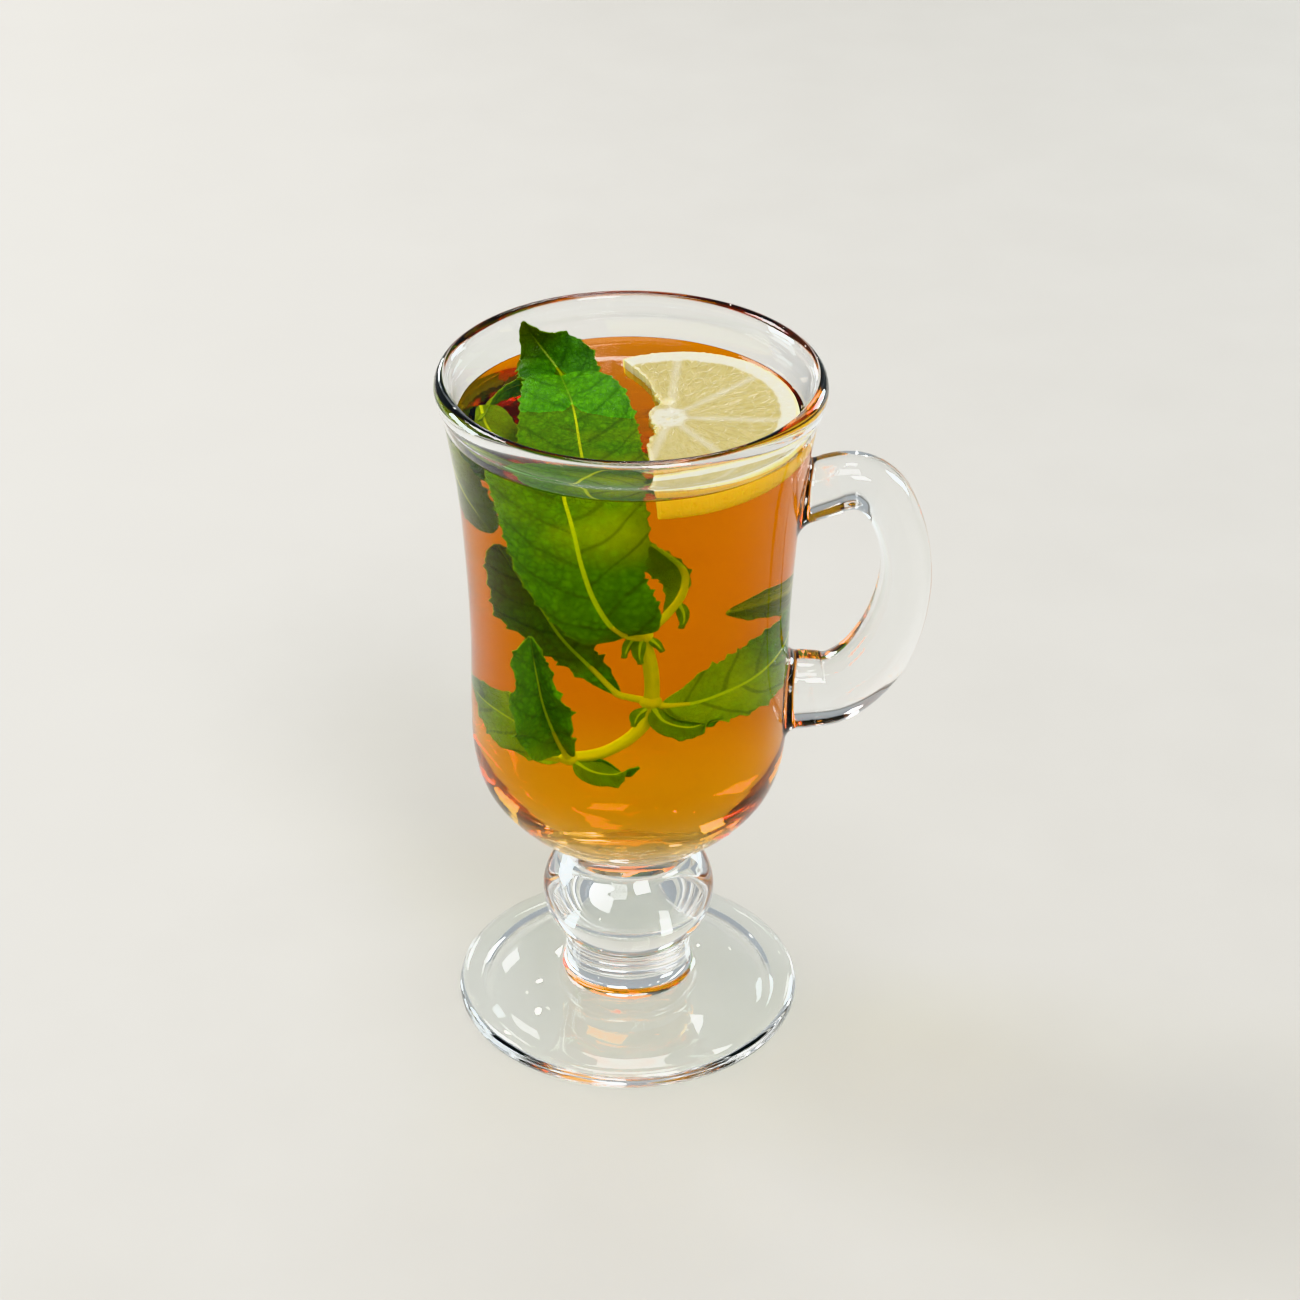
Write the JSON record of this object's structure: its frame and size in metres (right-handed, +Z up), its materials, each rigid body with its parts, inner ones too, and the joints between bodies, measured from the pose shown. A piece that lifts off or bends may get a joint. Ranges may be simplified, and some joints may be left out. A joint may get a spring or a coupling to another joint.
{
  "type": "glass cup of tea",
  "caption": "Footed glass mug with a knopped stem and a side handle, full of tea with a sprig of mint and a slice of lemon.",
  "frame": {"origin": "middle of the box round the whole mug, handle included, on the surface that the foot rests on", "axes": "+Z up along the mug's axis, +X from the mug towards its handle, +Y away from the viewer of the picture"},
  "size_m": [0.098, 0.0762, 0.147],
  "materials": {
    "clear_glass": "clear pressed glass, fire-polished and smooth",
    "amber_tea": "clear amber tea with a still surface",
    "mint_leaf": "fresh mint leaf, puckered between its veins, half matte",
    "lemon": "wet lemon flesh with pale pith and yellow zest"
  },
  "bodies": {
    "root": {"glass": "clear_glass", "tea": "amber_tea", "mint_sprig": "mint_leaf", "lemon_slice": "lemon"}
  },
  "joints": []
}
